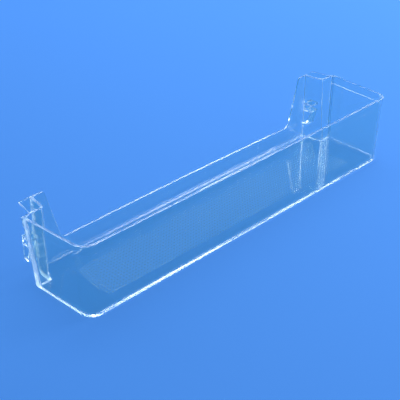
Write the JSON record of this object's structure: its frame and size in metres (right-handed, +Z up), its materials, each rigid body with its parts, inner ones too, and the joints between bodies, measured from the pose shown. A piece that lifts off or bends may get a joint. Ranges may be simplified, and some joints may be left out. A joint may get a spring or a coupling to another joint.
{
  "type": "fridge door shelf",
  "caption": "Clear moulded fridge door bin: a long open tray with a low back wall and rear corner pockets whose caps and snap catches hang it on lugs in the door liner.",
  "frame": {"origin": "centre of the overall footprint, on the plane of the underside", "axes": "+X along the door to the right of someone facing it, -Y towards that person, +Y towards the door, +Z up"},
  "size_m": [0.4474, 0.102, 0.0803],
  "materials": {
    "clear_plastic": "clear gloss"
  },
  "bodies": {
    "root": {"door_shelf": "clear_plastic"}
  },
  "joints": []
}
